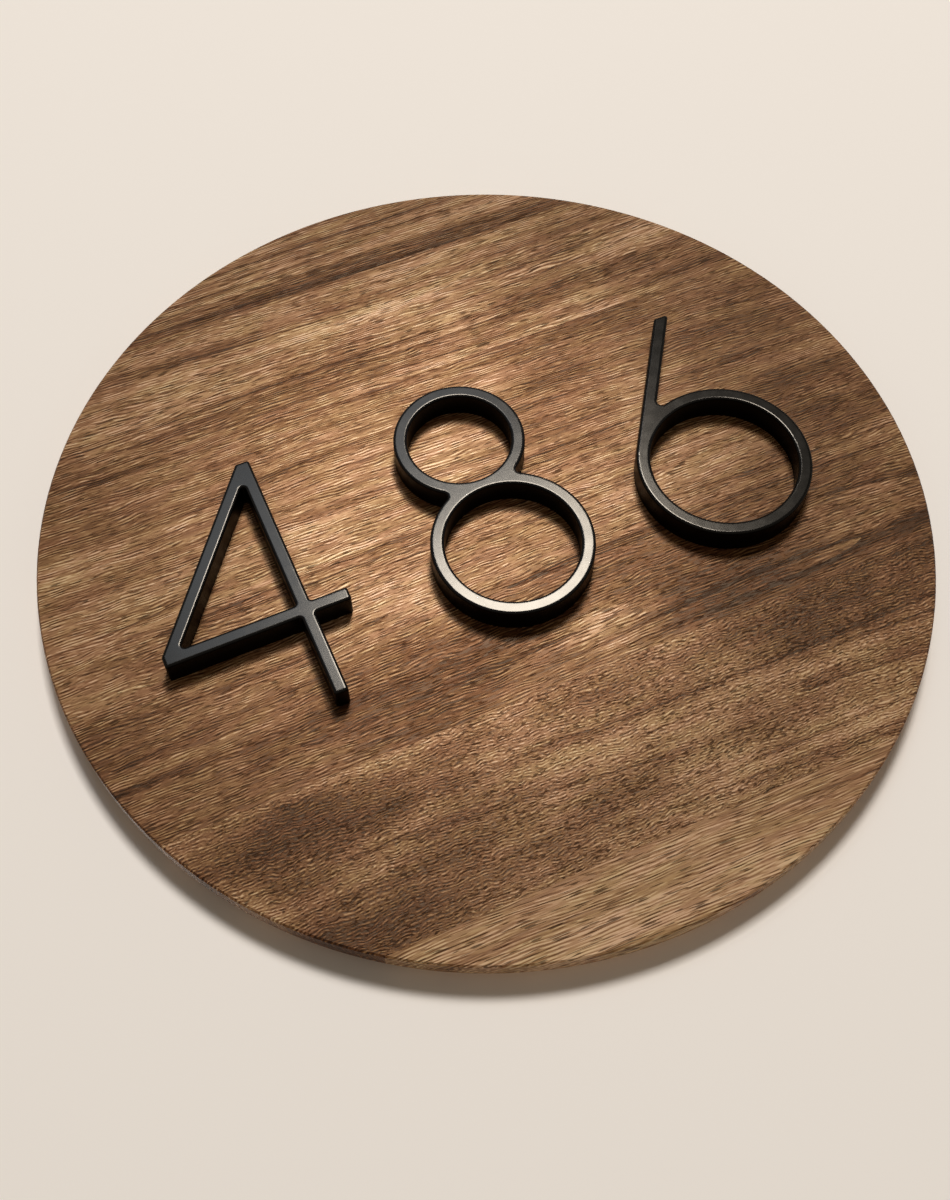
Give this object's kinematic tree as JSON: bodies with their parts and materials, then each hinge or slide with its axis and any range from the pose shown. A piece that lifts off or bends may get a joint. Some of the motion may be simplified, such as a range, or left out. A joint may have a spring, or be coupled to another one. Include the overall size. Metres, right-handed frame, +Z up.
{
  "type": "house number sign",
  "caption": "Round edge-glued walnut disc carrying slender black numerals on threaded studs, with raised keyhole hanger plates on the back and rubber feet that hold it off the wall.",
  "frame": {"origin": "centre of the disc, on its back face", "axes": "+X along the row of numerals to the right as read, +Z up, -Y out of the front of the sign, +Y towards the wall"},
  "size_m": [0.406, 0.03, 0.406],
  "materials": {
    "walnut": "hand-rubbed oil, satin",
    "numeral_black": "semi-gloss black powder coat",
    "zinc_plated": "bright zinc plate",
    "hanger_steel": "zinc-plated pressed steel",
    "rubber": "matt black rubber"
  },
  "bodies": {
    "root": {"stave_1": "walnut", "stave_2": "walnut", "stave_3": "walnut", "stave_4": "walnut", "stave_5": "walnut", "stave_6": "walnut", "numeral_4": "numeral_black", "numeral_8": "numeral_black", "numeral_6": "numeral_black", "studs_numeral_4": "zinc_plated", "studs_numeral_8": "zinc_plated", "studs_numeral_6": "zinc_plated", "stud_washers": "zinc_plated", "stud_nuts": "zinc_plated", "hanger_left": "hanger_steel", "hanger_right": "hanger_steel", "hanger_screws": "zinc_plated", "foot_lower_left": "rubber", "foot_lower_right": "rubber", "foot_upper_left": "rubber", "foot_upper_right": "rubber", "foot_washers": "zinc_plated", "foot_screws": "zinc_plated"}
  },
  "joints": []
}
